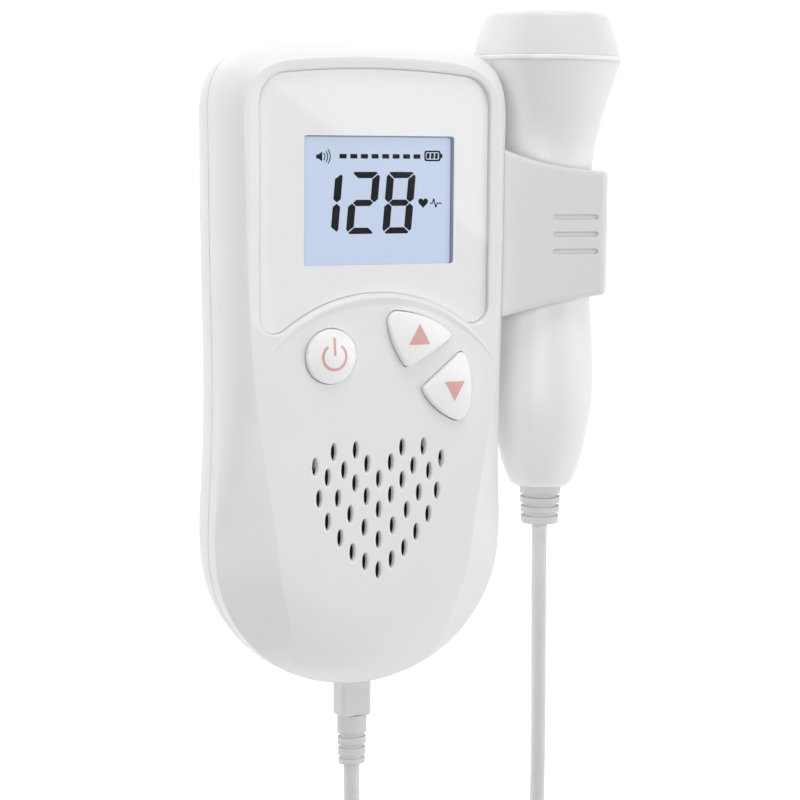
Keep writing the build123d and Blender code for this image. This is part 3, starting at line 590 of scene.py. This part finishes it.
def segments(digit):
    """The outlines of a digit's lit segments."""
    w, h, side, thick = digit_w, digit_h, 1.85, 1.4
    mid = h / 2
    top = [
        (0.95, h), (w - 0.95, h), (w - 0.62, h - 0.3), (w - side - 0.08, h - thick),
        (side + 0.08, h - thick), (0.62, h - 0.3),
    ]
    upper_right = [
        (w - 0.42, h - 0.55), (w, h - 1.0), (w, mid + 0.85), (w - side / 2, mid + 0.12),
        (w - side, mid + thick / 2 + 0.15), (w - side, h - thick - 0.2),
    ]
    middle = [
        (side / 2 + 0.22, mid), (side + 0.1, mid + thick / 2), (w - side - 0.1, mid + thick / 2),
        (w - side / 2 - 0.22, mid), (w - side - 0.1, mid - thick / 2), (side + 0.1, mid - thick / 2),
    ]
    foot = [(x, h - y) for x, y in top]
    lower_right = [(x, h - y) for x, y in upper_right]
    upper_left = [(w - x, y) for x, y in upper_right]
    lower_left = [(w - x, h - y) for x, y in upper_right]
    shapes = {
        "1": [upper_right, lower_right],
        "2": [top, upper_right, middle, lower_left, foot],
        "8": [top, upper_right, lower_right, middle, upper_left, lower_left, foot],
    }
    return shapes[digit]


def make_screen():
    """The lit segments and signs on the glass, and the gasket, whose dark strips in the window are painted
    shadow.
    """
    ink = Finish("lcd_ink", (0.012, 0.012, 0.014), 0.35)
    ink.rough_by(ink.noise(2, 2), 0.3, 0.42)
    ink.tint_by(ink.noise(5, 2), (0.018, 0.018, 0.021))
    ink.bump(ink.noise(0.3, 1), 0.001)
    ink.set("Specular IOR Level", 0.1)
    low, high = screen_top + 0.005, screen_top + 0.03

    digits = []
    for digit, right in (("1", -7.95), ("2", 1.35), ("8", 10.45)):
        digits += [slanted(shape, right - digit_reach, digit_foot) for shape in segments(digit)]
    dress(plates("lcd_digits", digits, low, high), ink.material, "handset")

    bars = []
    for i in range(8):
        x, y = -8.85 + 2.66 * i, 47.8
        bars.append(rounded_box(x, x + 1.77, y - 0.5, y + 0.5, 0.12, 2))
    dress(plates("lcd_bars", bars, low, high), ink.material, "handset")

    case = ring(
        "lcd_battery_case", rounded_box(12.55, 16.75, 46.75, 49.15, 0.55),
        rounded_box(12.95, 16.35, 47.12, 48.78, 0.3), low, high,
    )
    dress(case, ink.material, "handset")
    charge = [
        [(x, 47.32), (x + 0.75, 47.32), (x + 0.85, 48.58), (x + 0.1, 48.58)] for x in (13.1, 14.2, 15.25)
    ]
    charge.append([(16.7, 47.45), (17.2, 47.45), (17.2, 48.45), (16.7, 48.45)])
    dress(plates("lcd_battery_charge", charge, low, high), ink.material, "handset")

    heart = []
    for step in range(48):
        turn = 2 * pi * step / 48
        x = 16 * sin(turn) ** 3
        y = 13 * cos(turn) - 5 * cos(2 * turn) - 2 * cos(3 * turn) - cos(4 * turn)
        heart.append((12.35 + 0.078 * x, 37.45 + 0.078 * y))
    beat = [(14.1, 37.3), (14.75, 37.3), (15.1, 38.35), (15.6, 36.35), (15.95, 37.3), (17.1, 37.3)]
    pulse = [band([a, b], 0.27) for a, b in zip(beat, beat[1:])]
    dress(plates("lcd_heart", [heart] + pulse, low, high), ink.material, "handset")

    horn = [(-14.6, 47.25), (-14.0, 47.25), (-13.1, 46.6), (-13.1, 48.8), (-14.0, 48.15), (-14.6, 48.15)]
    waves = [band(arc((-13.7, 47.7), r, -38, 38, 10), 0.24) for r in (1.25, 1.9, 2.55)]
    dress(plates("lcd_volume", [horn] + waves, low, high), ink.material, "handset")

    # the gasket under the print is a real part; its dark colour and the strips it shows inside the
    # window's right and top edges are painted shadow of those edges
    shade_gasket_finish = Finish("gasket_painted_shade", (0.24, 0.28, 0.37), 0.55)
    shade_gasket_finish.rough_by(shade_gasket_finish.noise(3, 3), 0.48, 0.62)
    shade_gasket_finish.tint_by(shade_gasket_finish.noise(5, 3), (0.22, 0.255, 0.34))
    shade_gasket_finish.bump(shade_gasket_finish.noise(0.4, 2), 0.006)
    left, right, foot, top = window
    gasket_painted_shade = ring(
        "lcd_gasket_painted_shade", rounded_box(left - 1.3, right + 1.3, foot - 1.3, top + 1.3, 0.9),
        rounded_box(left - 0.1, right - 0.4, foot - 0.1, top - 0.3, 0.8), screen_top + 0.01, 31.28,
    )
    dress(gasket_painted_shade, shade_gasket_finish.material, "handset")


make_screen()


# ---------------------------------------------------------------- signs on the buttons
button_top = 35.1
power_dome = ((-12.15, 3.65), 17.0)       # middle and radius of each domed top
up_dome = ((9.2, 7.3), 32.0)
down_dome = ((18.0, -4.4), 32.0)


def draped(name, rows, centre, radius):
    """A thin printed sign on a button's domed top; rows is a grid of points in millimetres."""
    across = len(rows[0])
    verts = []
    for lift in (0.02, -0.05):
        for row in rows:
            for x, y in row:
                out = (x - centre[0]) ** 2 + (y - centre[1]) ** 2
                verts.append(Vector((x, y, button_top - radius + sqrt(radius ** 2 - out) + lift)) * mm)
    half = len(verts) // 2
    faces = []
    for i in range(len(rows) - 1):
        for j in range(across - 1):
            a, b = i * across + j, i * across + j + 1
            c, d = b + across, a + across
            faces.append([a, b, c, d])
            faces.append([half + d, half + c, half + b, half + a])
    rim = [i * across for i in range(len(rows))]
    rim += [(len(rows) - 1) * across + j for j in range(1, across)]
    rim += [i * across + across - 1 for i in range(len(rows) - 2, -1, -1)]
    rim += list(range(across - 2, 0, -1))
    for a, b in zip(rim, rim[1:] + rim[:1]):
        faces.append([b, a, half + a, half + b])
    made = make_object(name, verts, faces)
    made.data.update()
    return made


def stroke_rows(points, width, across=4):
    """A grid along a stroke, across its width."""
    side = band(points, width)
    n = len(points)
    rows = []
    for a, b in zip(side[:n], side[n:][::-1]):
        shares = [k / across for k in range(across + 1)]
        rows.append([(a[0] + (b[0] - a[0]) * share, a[1] + (b[1] - a[1]) * share) for share in shares])
    return rows


def triangle_rows(centre, side, up, steps=10):
    """A grid over a triangle that points up or down."""
    high = side * sqrt(3) / 2
    sign = 1 if up else -1
    rows = []
    for i in range(steps + 1):
        share = i / steps
        half = max(side / 2 * (1 - share), 0.03)
        y = centre[1] + sign * (share * high - high / 3)
        rows.append([(centre[0] - half + 2 * half * k / steps, y) for k in range(steps + 1)])
    return rows


def make_signs():
    """The pink signs: power, louder and quieter."""
    pink = Finish("pink_ink", (0.745, 0.402, 0.381), 0.4)
    pink.rough_by(pink.noise(2, 3), 0.35, 0.47)
    pink.tint_by(pink.noise(1.5, 4), (0.70, 0.37, 0.35))
    pink.bump(pink.noise(0.3, 2), 0.003)
    centre = (-11.98, 3.63)
    circle = draped("power_sign_ring", stroke_rows(arc(centre, 2.85, 125, 415, 56), 0.6), *power_dome)
    dress(circle, pink.material, "power_button")
    upright = [(centre[0], centre[1] + 0.3 + 0.4 * i) for i in range(11)]
    bar = draped("power_sign_bar", stroke_rows(upright, 0.55), *power_dome)
    dress(bar, pink.material, "power_button")
    up = draped("volume_up_sign", triangle_rows((9.3, 7.25), 5.4, True), *up_dome)
    dress(up, pink.material, "volume_up")
    down = draped("volume_down_sign", triangle_rows((18.5, -4.58), 5.2, False), *down_dome)
    dress(down, pink.material, "volume_down")


make_signs()


# ---------------------------------------------------------------- stage
floor_half, floor_z = 3.0, -0.0002        # the floor lies just under the handset
floor_paper = 0.82                        # its colour as the other pieces are lit by it
floor_shadow, floor_white = 0.30, 0.84    # as the camera sees it: what takes the shadow, and the rest

# name, place in metres, width, height, watts; they point at the origin
lamps = [
    ("over", (0.0, 0.2, 1.2), 0.8, 0.8, 2.0),
    ("left", (-0.717, 0.0, 1.024), 0.8, 0.8, 7.9),
    ("right", (0.92, 0.0, 0.86), 0.6, 0.6, 2.1),
    ("low_top", (0.0, 1.159, 0.468), 0.8, 0.8, 7.8),
    ("low_foot", (0.820, -0.820, 0.468), 0.8, 0.8, 2.9),
    ("low_right", (1.159, 0.0, 0.468), 0.8, 0.8, 2.6),
    ("strip_foot", (0.0, -0.8, 0.07), 0.8, 0.12, 1.3),
    ("strip_right", (0.8, 0.0, 0.07), 0.8, 0.12, 0.4),
]
softbox_at, softbox_size = (0.560, 0.2065, 0.9), (0.5, 0.4)
softbox_turn, softbox_watts = radians(-32.54), 1.35
room_light = 0.0
floor_light = 0.49                        # light that comes up from the white floor around the object


def make_lamp(name, at, width, height, power):
    """A soft rectangular lamp, facing down."""
    data = bpy.data.lights.new(name, "AREA")
    data.shape, data.size, data.size_y, data.energy = "RECTANGLE", width, height, power
    lamp = bpy.data.objects.new(name, data)
    lamp.location = at
    scene.collection.objects.link(lamp)
    return lamp


def glowing_paper(tree, shade, glow):
    """Dull paper of the given shade that also gives off light."""
    paper = tree.nodes.new("ShaderNodeBsdfDiffuse")
    paper.inputs["Color"].default_value = (shade, shade, shade, 1)
    light = tree.nodes.new("ShaderNodeEmission")
    light.inputs["Strength"].default_value = glow
    both = tree.nodes.new("ShaderNodeAddShader")
    tree.links.new(paper.outputs[0], both.inputs[0])
    tree.links.new(light.outputs[0], both.inputs[1])
    return both.outputs[0]


def make_floor():
    """A white floor that the camera sees with fainter shadows than it really has."""
    corners = [(x * floor_half, y * floor_half, floor_z) for x, y in ((-1, -1), (1, -1), (1, 1), (-1, 1))]
    floor = make_object("floor", corners, [[0, 1, 2, 3]])
    material = bpy.data.materials.new("floor")
    material.use_nodes = True
    tree = material.node_tree
    tree.nodes.clear()
    rays = tree.nodes.new("ShaderNodeLightPath")
    seen = combine(tree, "MAXIMUM", rays.outputs["Is Camera Ray"], rays.outputs["Is Transmission Ray"])
    choice = tree.nodes.new("ShaderNodeMixShader")
    tree.links.new(seen, choice.inputs[0])
    tree.links.new(glowing_paper(tree, floor_paper, floor_light), choice.inputs[1])
    tree.links.new(glowing_paper(tree, floor_shadow, floor_white), choice.inputs[2])
    out = tree.nodes.new("ShaderNodeOutputMaterial")
    tree.links.new(choice.outputs[0], out.inputs["Surface"])
    floor.data.materials.append(material)


def make_world():
    """A plain studio world: white to the camera, and otherwise of the room's own light."""
    world = bpy.data.worlds.new("studio")
    scene.world = world
    world.use_nodes = True
    nodes, links = world.node_tree.nodes, world.node_tree.links
    background = nodes["Background"]
    background.inputs["Color"].default_value = (1, 1, 1, 1)
    rays = nodes.new("ShaderNodeLightPath")
    level = nodes.new("ShaderNodeMapRange")
    level.inputs["To Min"].default_value = room_light
    level.inputs["To Max"].default_value = 1.0
    links.new(rays.outputs["Is Camera Ray"], level.inputs["Value"])
    links.new(level.outputs["Result"], background.inputs["Strength"])


def make_lamps():
    """The soft lights round the object, and the softbox that its lens mirrors."""
    for name, at, width, height, power in lamps:
        lamp = make_lamp(name, at, width, height, power)
        lamp.visible_camera = False
        lamp.rotation_mode = "QUATERNION"
        lamp.rotation_quaternion = (-Vector(at)).to_track_quat("-Z", "Y")
    # the lens mirrors this one's edge as a slanting line across the display window
    softbox = make_lamp("softbox", softbox_at, *softbox_size, softbox_watts)
    softbox.rotation_euler = (0, 0, softbox_turn)


make_floor()
make_world()
make_lamps()
scene.view_settings.view_transform = "Standard"
